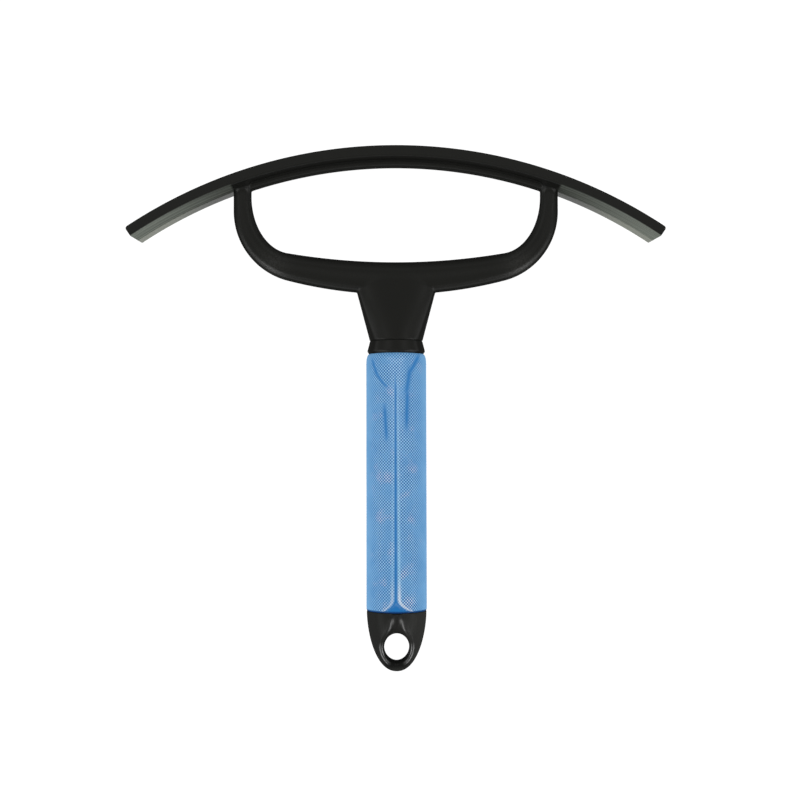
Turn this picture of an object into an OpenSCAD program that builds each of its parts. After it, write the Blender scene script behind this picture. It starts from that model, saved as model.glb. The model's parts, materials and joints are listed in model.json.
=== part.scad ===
// Sweat scraper: a bowed head with a rubber blade on a moulded loop, a gel grip and a hanging cap.
// It lies on its back on z = 0. x runs along the blade, y from the cap to the blade, z to the viewer.

/* [Bow] */
// Width of the head across its two ends, before their corners are rounded
bow_span = 267.8; // [230:0.2:290]
// Radius of the outer face of the bow
bow_r = 239.4; // [200:0.2:300]
// Thickness of the rail, and of the blade where it meets the rail
rail_t = 5.5; // [5:0.1:8]
// Depth of the rail, from its front edge to the blade
rail_depth = 17.6; // [14:0.1:24]
// How far the rail's back face stands behind the legs
rail_lip = 0.15; // [0.1:0.05:1]
// Lean of the end faces, which makes the back of the bow shorter than the front
end_draft = 2.5; // [0:0.5:10]
// Rounding of the outer corner at each end
end_round = 2; // [1:0.1:3]

/* [Blade] */
// Depth of the rubber behind the rail
blade_depth = 10.3; // [6:0.1:14]
// Thickness of the rubber at its working edge
blade_tip_t = 2; // [1.2:0.1:3]
// Thickness of the tongue that goes into the rail
tongue_t = 1.6; // [1:0.1:2.2]
// Depth of the tongue up to the middle of its bead
tongue_depth = 4; // [3:0.1:6]
// Diameter of the bead along the tongue
bead_d = 2.8; // [2.4:0.1:3.2]

/* [Loop] */
// Width of the loop across the outside of its legs
loop_span = 162.8; // [140:0.2:180]
// Height of the hand opening on the middle line
opening_h = 47.8; // [44:0.2:60]
// Width of a leg
leg_w = 8.9; // [7:0.1:12]
// Depth of the legs and of the rib, front to back
leg_depth = 9.2; // [7:0.1:12]
// How far the front of a leg flares out under the rail
leg_flare = 3.6; // [0:0.1:5]
// How far the rib shows below the rail
rib_drop = 3.4; // [2.5:0.1:6]
// Height of the lower bar on the middle line
bar_h = 16.1; // [12:0.1:20]
// Depth of the lower bar
bar_depth = 13.4; // [11:0.1:16]
// Radius of the loop's corners, measured outside
corner_r_out = 36; // [30:0.5:42]
// Radius of the loop's corners, measured inside and across
corner_r_in = 20.6; // [16:0.2:23]
// How much taller than wide those inside corners are
corner_stretch = 1.4; // [1:0.05:1.5]
// Radius of the lower bar's outer edge
bar_r_out = 217; // [180:1:260]
// Radius of the lower bar's inner edge
bar_r_in = 323; // [260:1:380]

/* [Neck] */
// Length of the neck from the collar to the lower bar
neck_len = 23.6; // [16:0.2:32]
// Diameter of the neck where it meets the collar
neck_d = 26.3; // [24:0.1:28]
// Width of the neck where it meets the lower bar
neck_w = 38.8; // [34:0.2:44]
// Length of the spigot below the neck
spigot_len = 46; // [30:1:70]

/* [Collar] */
// Length of the collar
collar_len = 6.5; // [5:0.1:10]
// Diameter of the collar at the neck
collar_d_top = 26.2; // [24:0.1:27]
// Diameter of the collar at its flare
collar_d_flare = 28.9; // [27:0.1:30]
// Height of the chamfer between the flare and the grip
collar_chamfer = 1.3; // [0.8:0.1:2]
// How far that chamfer draws in
collar_chamfer_in = 0.9; // [0.4:0.1:1.5]

/* [Handle] */
// Length of the grip
grip_len = 127.6; // [100:0.2:170]
// Diameter of the grip over its skin
grip_d = 30.4; // [28:0.1:34]
// Outside diameter of the tube
tube_d = 20; // [18:0.1:22]
// Wall of the tube
tube_wall = 2; // [1.5:0.1:3]
// Wall of the liner
liner_wall = 0.6; // [0.4:0.1:1]
// Wall of the skin
skin_wall = 0.6; // [0.4:0.1:1]
// Thickness of the lip that closes each end of the gel
lip_t = 1.2; // [0.8:0.1:2]
// How far the shoulder of the grip draws in at the collar
shoulder_in = 1.6; // [0.8:0.1:2.6]
// Length of that shoulder
shoulder_len = 4.2; // [2:0.1:5]

/* [Cap] */
// Length of the cap below the grip
cap_len = 30.25; // [24:0.25:36]
// Diameter of the cap where it meets the grip
cap_d = 29.7; // [28:0.1:34]
// Length of the spigot that goes up into the tube
cap_spigot_len = 20; // [12:1:40]
// Diameter of the hanging hole
hole_d = 12.4; // [10:0.1:14]
// Distance from the middle of the hole to the tip
hole_to_tip = 12.3; // [11:0.1:15]
// Length of the straight wall inside the hole
hole_wall = 4; // [3:0.5:12]
// How far the hole flares out at the height of the cap's face
hole_flare = 1.2; // [1:0.1:3]
// Width of the cord groove at the hole
groove_w = 8.6; // [7:0.1:11]
// Width of the cord groove at the grip
groove_w_end = 2.4; // [2:0.1:5]
// Distance from the grip to the end of the cord groove
groove_stop = 1; // [0.5:0.1:4]
// Width of the saddle under the hole, which leads the cord towards the tip
saddle_w = 8; // [7:0.1:12]
// Distance from the tip to the end of the saddle
saddle_stop = 2.5; // [1.5:0.1:4]
// How far the groove and the saddle lie below the cap's face at the hole
groove_sink = 1; // [0.5:0.1:2]

/* [Fits] */
// Gap all round between pieces that slide together
slide_fit = 0.1; // [0.05:0.01:0.2]
// Gap between the layers of the grip
layer_fit = 0.05; // [0.03:0.01:0.1]

/* [Hidden] */
$fn = 96;

// Overlap of solids that are fused or cut
eps = 0.5;
// How far a rounding crosses, or a neck stays under, the faces that it would only touch
graze = 0.02;
// Broken edge of the neck and the collar along their joint
joint_edge = 0.35;

// Powers of the superellipses: 2 is an ellipse, and higher ones come nearer to a rectangle
loop_power = 2.3;
neck_power = 2.8;
rib_power = 2.4;

// Points round each section, and steps along each stretch
loop_points = 24;
neck_points = 36;
rib_points = 32;
leg_steps = 7;
corner_steps = 10;
bar_steps = 5;
neck_steps = 9;
shoulder_steps = 8;
cap_steps = 24;
flare_steps = 12;

// Places along the loop's guides: where a leg's flare has faded, and where the depth grows
flare_end = 0.55;
swell_start = 0.8;
swell_end = 2.4;

// Share of the lower bar's height that the neck runs up into
neck_reach = 0.75;

// Curve of the cap: how late it starts to draw in, and how blunt its tip is
cap_late = 1.78;
cap_blunt = 2;

// Degrees that the bow is swept past its ends before they are cut
end_spare = 1;

// Places along the handle, from the tip of the cap to the top of the bow
total_len = cap_len + grip_len + collar_len + neck_len + bar_h + opening_h + rib_drop + rail_t;
y_tip = -total_len / 2;
y_cap = y_tip + cap_len;
y_grip = y_cap + grip_len;
y_neck = y_grip + collar_len;
y_bar = y_neck + neck_len;
y_open = y_bar + bar_h;
y_rib = y_open + opening_h;
y_rail = y_rib + rib_drop;
y_bow = y_rail + rail_t - bow_r;

// Height of the handle's axis: the lowest of the grip, the cap and the blade rests on z = 0
rail_back = leg_depth / 2 + rail_lip;
axis_z = max(grip_d / 2, cap_d / 2, rail_back + blade_depth);
z_split = axis_z - rail_back;
z_front = z_split + rail_depth;
z_edge = z_split - blade_depth;

// Half the angle that the bow covers, and the radius of its inner face
bow_half = asin(bow_span / 2 / bow_r);
bow_r_in = bow_r - rail_t;
slot_r = bow_r - rail_t / 2;
leg_x = (loop_span - leg_w) / 2;
neck_full = neck_len + bar_h * neck_reach;

// Radii of the handle's layers
tube_r = tube_d / 2;
tube_bore_r = tube_r - tube_wall;
spigot_r = tube_bore_r - slide_fit;
liner_r_in = tube_r + layer_fit;
liner_r = liner_r_in + liner_wall;
skin_r = grip_d / 2;
skin_r_in = skin_r - skin_wall;

// The hanging hole's place, and the height of the cap's face there over the axis
y_hole = y_tip + hole_to_tip;
hole_face = cap_r(1 - hole_to_tip / cap_len);

// Points of a superellipse: half width a, half height b, power n, with c points from a start
function oval(a, b, n, c, start = 0) = [for (i = [0:c - 1]) let (t = 360 * (i + start) / c)
    [a * sign(cos(t)) * pow(abs(cos(t)), 2 / n), b * sign(sin(t)) * pow(abs(sin(t)), 2 / n)]];

function mix(a, b, t) = a + (b - a) * t;

function ease(t) = let (u = min(max(t, 0), 1)) u * u * (3 - 2 * u);

// A closed solid through rings of the same number of points, each one turning right-handed
// about the way from ring to ring
module loft(rings) {
    c = len(rings[0]);
    last = len(rings) - 1;
    sides = [for (k = [0:last - 1], i = [0:c - 1]) let (j = (i + 1) % c, low = k * c, high = low + c)
        each [[low + i, high + j, low + j], [low + i, high + i, high + j]]];
    first_face = [for (i = [0:c - 1]) i];
    last_face = [for (i = [c - 1:-1:0]) last * c + i];
    polyhedron([for (ring = rings) each ring], concat([first_face], sides, [last_face]));
}

// Turns a profile of [radius, y] about the handle's axis
module turned() {
    translate([0, 0, axis_z])
        rotate([-90, 0, 0])
            rotate_extrude()
                children();
}

// Sweeps a profile of [radius, z] along the bow, over half an angle to each side of the middle
module bowed(half_angle) {
    translate([0, y_bow, 0])
        rotate([0, 0, 90 - half_angle])
            rotate_extrude(angle = 2 * half_angle)
                children();
}

// The space beyond one end face of the bow, with its lean and its rounded outer corner
module beyond_end() {
    // A length that passes the end on every side
    big = 4 * rail_t;
    depth = rail_depth + blade_depth;
    corner = bow_r - end_round + graze;
    translate([0, y_bow, 0])
        rotate([0, 0, 90 - bow_half])
            translate([0, 0, z_front])
                rotate([end_draft, 0, 0]) {
                    translate([bow_r - rail_t - big, -big, -depth - big])
                        cube([big * 2 + rail_t, big, depth + 2 * big]);
                    difference() {
                        translate([corner, -eps, -depth - big])
                            cube([big, end_round + eps - graze, depth + 2 * big]);
                        translate([corner, end_round - graze, -depth - 2 * big])
                            cylinder(r = end_round, h = depth + 4 * big);
                    }
                }
}

// Guide curves of the loop, left half: u runs 0 to 1 down the leg, to 2 round the corner and
// to 3 along the lower bar. The corner touches the leg's line and the bar's arc. Both are drawn
// k times too low and then stretched by k.
function guide(u, x, r, bar_r, y_low, k) = let (
    flat_r = bar_r * k,
    reach = flat_r - r,
    side = x - r,
    y_corner = y_low + k * (flat_r - sqrt(reach * reach - side * side)),
    turn = asin(side / reach),
    y_leg = y_bow + sqrt(pow(bow_r_in + eps, 2) - x * x),
    a = mix(90, turn, u - 1),
    b = mix(turn, 0, u - 2))
    u <= 1 ? [-x, mix(y_leg, y_corner, u)]
    : u <= 2 ? [-side - r * sin(a), y_corner - k * r * cos(a)]
    : [-flat_r * sin(b), y_low + k * flat_r * (1 - cos(b))];

function outer_guide(u) = guide(u, loop_span / 2, corner_r_out, bar_r_out, y_bar, 1);
function inner_guide(u) = guide(u, loop_span / 2 - leg_w, corner_r_in, bar_r_in, y_open, corner_stretch);

// One section of the loop, spanned between the two guides
function loop_ring(u, flip) = let (
    p = outer_guide(u),
    q = inner_guide(u),
    mid = (p + q) / 2,
    across = (q - p) / 2,
    back = mix(leg_depth, bar_depth, ease((u - swell_start) / (swell_end - swell_start))) / 2,
    front = back + leg_flare * pow(1 - min(u / flare_end, 1), 2),
    half = (front + back) / 2,
    z_mid = axis_z + (front - back) / 2)
    [for (s = oval(1, half, loop_power, loop_points))
        [flip * (mid.x + across.x * s.x), mid.y + across.y * s.x, z_mid + s.y]];

// The loop, from the top of one leg round to the top of the other
module loop() {
    steps = concat(
        [for (i = [0:leg_steps - 1]) i / leg_steps],
        [for (i = [0:corner_steps - 1]) 1 + i / corner_steps],
        [for (i = [0:bar_steps - 1]) 2 + i / bar_steps]);
    left = [for (u = steps) loop_ring(u, 1)];
    right = [for (i = [len(steps) - 1:-1:0]) loop_ring(steps[i], -1)];
    loft(concat(left, [loop_ring(3, 1)], right));
}

// One section of the neck, at a height over the collar and drawn in by an edge
function neck_ring(h, edge) = let (
    a = mix(neck_d, neck_w, h / neck_len) / 2 - edge,
    b = mix(neck_d, bar_depth - graze, h / (neck_len + bar_h / 2)) / 2 - edge,
    power = mix(2, neck_power, h / neck_full))
    [for (s = oval(a, b, power, neck_points)) [s.x, y_neck + h, axis_z - s.y]];

// The neck: round at the collar, and a wide flat oval where it runs into the lower bar
module neck() {
    heights = [for (i = [0:neck_steps]) mix(joint_edge, neck_full, i / neck_steps)];
    loft(concat([neck_ring(0, joint_edge)], [for (h = heights) neck_ring(h, 0)]));
}

// The rail's section, with the slot for the blade's tongue open at its back face
module rail_section() {
    difference() {
        translate([bow_r_in, z_split])
            square([rail_t, rail_depth]);
        tongue_section(slide_fit);
    }
}

// The tongue and its bead, grown by a gap
module tongue_section(gap) {
    translate([slot_r - tongue_t / 2 - gap, z_split - eps])
        square([tongue_t + 2 * gap, tongue_depth + eps]);
    translate([slot_r, z_split + tongue_depth])
        circle(d = bead_d + 2 * gap);
}

// The rib under the rail, with a rounded lower edge that has no point on the legs' middle line
module rib_section() {
    half = (rib_drop + eps) / 2;
    middle = bow_r_in + eps - half;
    translate([middle, axis_z])
        polygon([for (s = oval(half, leg_depth / 2, rib_power, rib_points, 0.5)) if (s.x < 0) s,
            [half, -leg_depth / 2], [half, leg_depth / 2]]);
}

module head_frame() {
    color([0.14, 0.14, 0.13]) {
        difference() {
            bowed(bow_half + end_spare)
                rail_section();
            beyond_end();
            mirror([1, 0, 0])
                beyond_end();
        }
        bowed(asin(leg_x / bow_r_in))
            rib_section();
        loop();
        neck();
        turned()
            translate([0, y_neck - spigot_len])
                square([spigot_r, spigot_len + eps]);
    }
}

module rubber_blade() {
    color([0.45, 0.46, 0.44])
        difference() {
            bowed(bow_half + end_spare) {
                polygon([[bow_r_in, z_split], [bow_r_in, z_edge], [bow_r_in + blade_tip_t, z_edge],
                    [bow_r, z_split]]);
                tongue_section(0);
            }
            beyond_end();
            mirror([1, 0, 0])
                beyond_end();
        }
}

module collar() {
    bore_r = spigot_r + slide_fit;
    flare_r = collar_d_flare / 2;
    top_r = collar_d_top / 2;
    color([0.13, 0.13, 0.13])
        turned()
            polygon([[bore_r, y_grip], [flare_r - collar_chamfer_in, y_grip],
                [flare_r, y_grip + collar_chamfer], [top_r, y_neck - joint_edge],
                [top_r - joint_edge, y_neck], [bore_r, y_neck]]);
}

module core_tube() {
    color([0.85, 0.85, 0.82])
        turned()
            translate([tube_bore_r, y_cap])
                square([tube_wall, grip_len]);
}

module grip_liner() {
    color([0.75, 0.83, 0.9])
        turned()
            translate([liner_r_in, y_cap])
                square([liner_wall, grip_len]);
}

// Outline of the shoulder at the collar end, drawn in by a wall
function shoulder(wall) = [for (i = [0:shoulder_steps]) let (a = 90 * i / shoulder_steps)
    [skin_r - shoulder_in * (1 - cos(a)) - wall, y_grip - shoulder_len * (1 - sin(a)) - wall]];

module gel_fill() {
    r_in = liner_r + layer_fit;
    r_out = skin_r_in - layer_fit;
    gap = lip_t + layer_fit;
    color([0.55, 0.75, 0.92])
        turned()
            polygon(concat([[r_in, y_cap + gap], [r_out, y_cap + gap]],
                [for (p = shoulder(skin_wall + layer_fit)) [p.x, min(p.y, y_grip - gap)]],
                [[r_in, y_grip - gap]]));
}

module grip_skin() {
    r_in = liner_r + layer_fit;
    inside = shoulder(skin_wall);
    color([0.4, 0.6, 0.78])
        turned()
            polygon(concat([[r_in, y_cap], [skin_r, y_cap]], shoulder(0),
                [[r_in, y_grip], [r_in, y_grip - lip_t]],
                [for (i = [shoulder_steps:-1:0]) let (p = inside[i]) [p.x, min(p.y, y_grip - lip_t)]],
                [[skin_r_in, y_cap + lip_t], [r_in, y_cap + lip_t]]));
}

// Radius of the cap at a share t of its length from the grip to the tip
function cap_r(t) = cap_d / 2 * pow(1 - pow(t, cap_late), 1 / cap_blunt);

// The hanging hole: a straight wall that flares out to both faces
module hole_cut() {
    z_wall = hole_wall / 2;
    z_out = cap_d / 2 + eps;
    upper = [for (i = [0:flare_steps]) let (
        z = mix(z_wall, z_out, i / flare_steps),
        t = (z - z_wall) / (hole_face - z_wall))
        [hole_d / 2 + hole_flare * t * t, z]];
    lower = [for (i = [flare_steps:-1:0]) [upper[i].x, -upper[i].y]];
    translate([0, y_hole, axis_z])
        rotate_extrude()
            polygon(concat([[0, -z_out]], lower, upper, [[0, z_out]]));
}

// A tapered groove between two points of the middle plane, given as [y, z]
module groove(from, to, w_from, w_to) {
    step = to - from;
    translate([0, from.x, from.y])
        rotate([-90 + atan2(step.y, step.x), 0, 0])
            cylinder(d1 = w_from, d2 = w_to, h = norm(step));
}

// The cord grooves of both faces, which run from the hole to the grip and towards the tip
module cord_grooves() {
    start = [y_hole, hole_face - groove_sink];
    top = [y_cap - groove_stop, cap_d / 2 + eps];
    tip = [y_tip + saddle_stop, cap_r(1 - saddle_stop / cap_len) + groove_w_end / 2];
    translate([0, 0, axis_z])
        for (side = [0, 1])
            mirror([0, 0, side]) {
                groove(start, top, groove_w, groove_w_end);
                groove(start, tip, saddle_w, groove_w_end);
            }
}

module end_cap() {
    shares = [for (i = [0:cap_steps]) sin(90 * i / cap_steps)];
    color([0.15, 0.15, 0.15]) {
        difference() {
            turned()
                polygon(concat([for (t = shares) [cap_r(t), y_cap - cap_len * t]], [[0, y_cap]]));
            hole_cut();
            cord_grooves();
        }
        turned()
            translate([0, y_cap - eps])
                square([spigot_r, cap_spigot_len + eps]);
    }
}

head_frame();
rubber_blade();
collar();
core_tube();
grip_liner();
gel_fill();
grip_skin();
end_cap();
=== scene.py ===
import json
import math

import bmesh
import bpy
import numpy as np
from bpy.props import FloatProperty, FloatVectorProperty, IntProperty, PointerProperty
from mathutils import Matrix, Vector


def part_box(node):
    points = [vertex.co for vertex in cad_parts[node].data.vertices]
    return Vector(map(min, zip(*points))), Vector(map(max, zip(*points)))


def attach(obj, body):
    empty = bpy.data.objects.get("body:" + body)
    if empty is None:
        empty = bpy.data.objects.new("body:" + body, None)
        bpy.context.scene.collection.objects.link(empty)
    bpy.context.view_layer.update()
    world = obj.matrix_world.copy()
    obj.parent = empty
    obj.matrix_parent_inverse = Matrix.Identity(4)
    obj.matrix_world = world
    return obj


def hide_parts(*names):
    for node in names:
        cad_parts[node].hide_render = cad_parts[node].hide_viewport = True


bl_info = {
    "name": "Sweat scraper",
    "version": (1, 0, 0),
    "blender": (4, 5, 0),
    "location": "View3D > Sidebar > Scraper",
    "description": "Builds the surfaces, finishes and studio of a sweat scraper with a gel grip",
    "category": "Object",
}

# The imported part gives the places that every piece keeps
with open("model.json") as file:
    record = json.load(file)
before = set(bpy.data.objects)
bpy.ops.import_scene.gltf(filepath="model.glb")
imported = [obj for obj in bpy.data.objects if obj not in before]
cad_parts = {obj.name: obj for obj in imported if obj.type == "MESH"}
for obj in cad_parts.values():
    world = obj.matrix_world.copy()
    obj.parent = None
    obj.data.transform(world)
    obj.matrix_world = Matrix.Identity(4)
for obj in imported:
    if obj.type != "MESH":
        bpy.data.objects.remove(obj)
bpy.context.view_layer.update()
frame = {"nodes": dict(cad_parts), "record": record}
HEAD_LOW, HEAD_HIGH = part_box("head_frame")
BLADE_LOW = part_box("rubber_blade")[0]
COLLAR_LOW, COLLAR_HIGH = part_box("collar")
GRIP_LOW, GRIP_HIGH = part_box("grip_skin")
CAP_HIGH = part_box("end_cap")[1]
HANG_HOLE = frame["record"]["mounts"][0]
AXIS_Z = (GRIP_LOW.z + GRIP_HIGH.z) / 2

# Solids that are joined reach this far into each other
OVERLAP = 0.0005


def length(name, text, value, low=0.0):
    """A size in metres, not under a low."""
    return FloatProperty(name=name, description=text, default=value, min=low, unit="LENGTH", precision=4)


def angle(name, text, degrees):
    """An angle, given in degrees."""
    return FloatProperty(name=name, description=text, default=math.radians(degrees), unit="ROTATION")


def ratio(name, text, value):
    """A plain number of 1 or more."""
    return FloatProperty(name=name, description=text, default=value, min=1.0)


def colour(name, text, red, green, blue):
    """A linear colour."""
    value = (red, green, blue, 1.0)
    return FloatVectorProperty(
        name=name, description=text, default=value, size=4, subtype="COLOR", min=0.0, max=1.0
    )


class HeadSizes(bpy.types.PropertyGroup):
    """Sizes of the moulded head and of the blade in its rail."""

    bow_span: length("Bow span", "Width across the ends before their corners are rounded", 0.2678)
    bow_radius: length("Bow radius", "Radius of the outer face of the bow", 0.2394)
    rail_thickness: length("Rail thickness", "Thickness of the rail", 0.0055)
    rail_depth: length("Rail depth", "Depth of the rail from its front edge to the blade", 0.0176)
    end_draft: angle("End draft", "Lean of the end faces", 2.5)
    end_round: length("End rounding", "Rounding of the outer corner at each end", 0.0014)
    edge_round: length("Edge rounding", "Rounding of the rail's long edges", 0.0005)
    rib_drop: length("Rib drop", "How far the rib shows below the rail", 0.0034)
    loop_span: length("Loop span", "Width across the outside of the legs", 0.1628)
    leg_width: length("Leg width", "Width of a leg", 0.0089)
    leg_depth: length("Leg depth", "Depth of the legs and the rib", 0.0092)
    leg_flare: length("Leg flare", "How far a leg's front flares under the rail", 0.0036)
    bar_height: length("Bar height", "Height of the lower bar on the middle line", 0.0161)
    bar_depth: length("Bar depth", "Depth of the lower bar", 0.0134)
    corner_outer: length("Outer corner", "Radius of the loop's corners outside", 0.036)
    corner_inner: length("Inner corner", "Radius of the loop's corners inside and across", 0.0206)
    corner_stretch: ratio("Corner stretch", "How much taller than wide the inner corners are", 1.4)
    bar_outer: length("Bar outer radius", "Radius of the lower bar's outer edge", 0.217)
    bar_inner: length("Bar inner radius", "Radius of the lower bar's inner edge", 0.323)
    neck_length: length("Neck length", "Length from the collar to the lower bar", 0.0236)
    neck_diameter: length("Neck diameter", "Diameter of the neck at the collar", 0.0263)
    neck_width: length("Neck width", "Width of the neck at the lower bar", 0.0388)
    neck_edge: length("Neck edge", "Broken edge of the neck at the collar", 0.00035)
    spigot_radius: length("Spigot radius", "Radius of the spigots inside the tube", 0.0079)
    rail_round: length("Rail rounding", "Rounding of the rail's inner front edge", 0.0015)
    rail_fillet: length("Rail fillet", "Fillet in front, where the rib and the legs meet the rail", 0.0028)
    root_fillet: length("Root fillet", "Fillet at the sides of the legs and of the neck", 0.0004)
    blade_tip: length("Blade tip", "Thickness of the rubber at its edge", 0.002)
    tongue_thickness: length("Tongue thickness", "Thickness of the tongue in the rail", 0.0016)
    tongue_depth: length("Tongue depth", "Depth of the tongue to the middle of its bead", 0.004)
    bead_diameter: length("Bead diameter", "Diameter of the bead along the tongue", 0.0028)
    slide_gap: length("Slide gap", "Gap between the tongue and its slot", 0.0001)
    mesh_step: length("Mesh step", "Size of a face on the broad surfaces", 0.0008)
    fine_step: length("Fine mesh step", "Size of a face along edges and in the slot", 0.00035)


class HandleSizes(bpy.types.PropertyGroup):
    """Sizes of the collar and of the padded grip."""

    collar_top: length("Collar top", "Diameter of the collar at the neck", 0.0262)
    collar_chamfer: length("Collar chamfer", "Height of the chamfer at the grip", 0.0013)
    collar_inset: length("Collar inset", "How far that chamfer draws in", 0.0009)
    collar_bore: length("Collar bore", "Radius of the hole round the spigot", 0.008)
    grip_bore: length("Grip bore", "Radius of the hole round the liner", 0.0107)
    shoulder_in: length("Shoulder", "How far the grip draws in at the collar", 0.0016)
    shoulder_length: length("Shoulder length", "Length of that shoulder", 0.0042)
    tuck_in: length("Tuck", "How far the skin draws in at the cap", 0.0008)
    tuck_length: length("Tuck length", "Length of that tuck", 0.0012)
    skin_ease: length("Skin ease", "How far the bare skin lies inside the grip's full size", 0.00025)
    diamonds: IntProperty(name="Diamonds", description="Diamonds in a row round it", default=62, min=12)
    diamond_row: length("Diamond row", "Height of a row of diamonds", 0.00151)
    relief: length("Relief", "Height of the diamonds over the skin", 0.00008)
    seam_side: length("Seam place", "How far right of the middle line the seam lies", -0.0005, -0.005)
    seam_depth: length("Seam depth", "Depth of the seam's groove", 0.0003)
    seam_top: length("Seam top", "Half width of the seam's groove at the collar", 0.00035)
    seam_foot: length("Seam foot", "Half width of the seam's groove at the cap", 0.00075)
    fork_height: length("Fork height", "Height over the cap at which the seam forks", 0.00725)
    fork_reach: length("Fork reach", "How far each branch of the seam has spread at the cap", 0.0071)
    fold_depth: length("Fold depth", "Depth of the slack folds", 0.00025)
    swell: length("Swell", "Height of the gel's slow swelling", 0.00015)


class CapSizes(bpy.types.PropertyGroup):
    """Sizes of the end cap."""

    cap_length: length("Cap length", "Length below the grip", 0.03003)
    cap_late: ratio("Late curve", "How late the cap draws in", 1.8)
    cap_blunt: ratio("Blunt tip", "How blunt the tip is", 2.24)
    rim_round: length("Rim rounding", "Rounding of the rim at the grip", 0.0004)
    hole_wall: length("Hole wall", "Length of the straight wall in the hole", 0.004)
    hole_flare: length("Hole flare", "How far the hole flares at the cap's face", 0.0012)
    hole_round: length("Hole rounding", "Rounding of the hole's lip", 0.0022)
    hole_stretch: ratio("Hole stretch", "How much taller than wide the hole is", 1.14)
    groove_width: length("Groove width", "Width of the cord groove at the hole", 0.0086)
    groove_end: length("Groove end", "Width of the cord groove at the grip", 0.0028)
    groove_stop: length("Groove stop", "Distance from the grip to the end of the groove", 0.001)
    groove_sink: length("Groove sink", "How far the groove lies below the cap's face", 0.001)
    lip_width: length("Lip width", "Half width of the polish along the lips", 0.002)
    groove_round: length("Groove rounding", "Rounding of the groove's edges", 0.0026)
    saddle_width: length("Saddle width", "Width of the saddle under the hole", 0.008)
    saddle_round: length("Saddle rounding", "Rounding of the saddle's edges", 0.003)
    saddle_stop: length("Saddle stop", "Distance from the tip to the end of the saddle", 0.0025)
    mesh_step: length("Mesh step", "Size of a face on the cap", 0.00026)


class Finishes(bpy.types.PropertyGroup):
    """Colours of the pieces and of the studio."""

    black: colour("Frame", "Satin black of the head and the collar", 0.0168, 0.017, 0.0154)
    cap_black: colour("Cap", "Glossy black of the cap", 0.0215, 0.022, 0.0205)
    # Paler tone of real hairlines on the cap, also used for painted sheen on the cap's right side and on
    # the loop's corners
    scuff_and_sheen: colour("Scuffs", "Pale marks on the black plastic", 0.09, 0.09, 0.085)
    # Painted reflection: grey that stands in for the pale floor mirrored in the inner wall of the arms
    painted_glare: colour("Worn plastic", "Grey of the rail inside its arms", 0.25, 0.275, 0.235)
    rubber: colour("Rubber", "Dark grey of the blade", 0.045, 0.047, 0.042)
    # Painted reflection: grey that stands in for the pale floor mirrored in the blade towards the ends of
    # the bow
    painted_rubber_glare: colour("Worn rubber", "Grey of the blade towards the ends of the bow", 0.185, 0.198, 0.157)
    skin: colour("Skin", "Blue of the grip", 0.148, 0.378, 0.7)
    # Deeper blue of the random mottle, and painted shade in the folds and the seam
    deep_skin_and_crease_shade: colour("Deep skin", "Blue in the folds and the seam", 0.022, 0.19, 0.52)
    # Dark blue of the gaps between the diamonds, partly pattern and partly painted shade
    gap_blue_and_shade: colour("Skin gaps", "Dark blue between the diamonds", 0.008, 0.075, 0.31)
    # Pale blue of the diamonds, partly painted highlight, also painted as reflection at the grip's edges
    pale_dots_and_sheen: colour("Pale skin", "Pale blue of the diamonds", 0.45, 0.77, 1.0)
    # Painted highlight: white of the glints and of the lit ridges
    skin_lit: colour("Lit skin", "White of the glints and of the ridges beside the seam", 0.85, 0.92, 1.0)
    # Painted shade of the skin's hem where it tucks in at the cap
    hem_shade: colour("Hem", "Dark blue of the skin's hem at the cap", 0.008, 0.04, 0.16)
    gel: colour("Gel", "Blue of the gel under the skin", 0.25, 0.5, 0.75)
    tube: colour("Tube", "Off-white of the core tube", 0.6, 0.6, 0.57)
    floor: colour("Floor", "Tone of the paper under its own glow", 0.1, 0.1, 0.1)


def mix(a, b, t):
    """The value a share t of the way from a to b."""
    return a + (b - a) * t


def ease(t):
    """A share from 0 to 1 that starts and ends slowly."""
    t = np.clip(t, 0, 1)
    return t * t * (3 - 2 * t)


def joined(a, b, fillet):
    """Distance to two solids joined by a fillet."""
    hollow = np.hypot(np.maximum(fillet - a, 0), np.maximum(fillet - b, 0))
    return np.maximum(fillet, np.minimum(a, b)) - hollow


def bounded(rounding, *faces):
    """Distance to what lies behind all these faces, with rounded edges between them."""
    outside = np.sqrt(sum(np.maximum(face + rounding, 0) ** 2 for face in faces))
    return np.minimum(np.maximum.reduce(faces), -rounding) + outside


def oval(x, y, a, b, power, core=0.2):
    """Distance from a superellipse with half axes a and b, along the ray from its centre.

    In its core, a share of its size, the distance stays the same.
    """
    level = (np.abs(x / a) ** power + np.abs(y / b) ** power) ** (1 / power)
    radial = np.hypot(x, y) * (1 - 1 / np.maximum(level, core / 2))
    return np.where(level < core, (core - 1) * np.minimum(a, b), radial)


def graded(end, *stretches):
    """Grid lines up to an end, in stretches of (start, step)."""
    stops = [start for start, _ in stretches[1:]] + [end]
    parts = [np.arange(start, stop, step) for (start, step), stop in zip(stretches, stops)]
    return np.concatenate(parts + [[end]])


def slopes(points, distance, probe=0.00002):
    """The slope of a distance at each point."""
    ahead = [distance(*(points + probe * way).T) for way in np.eye(3)]
    behind = [distance(*(points - probe * way).T) for way in np.eye(3)]
    return (np.array(ahead) - np.array(behind)).T / (2 * probe)


def settled(points, distance, rounds=3, stride=0.0003, least_slope=0.05):
    """Points moved down the slope of a distance until they lie on its surface."""
    for _ in range(rounds):
        slope = slopes(points, distance)
        steep = np.maximum((slope ** 2).sum(axis=1), least_slope)
        move = (distance(*points.T) / steep)[:, None] * slope
        points = points - np.clip(move, -stride, stride)
    return points


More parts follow.
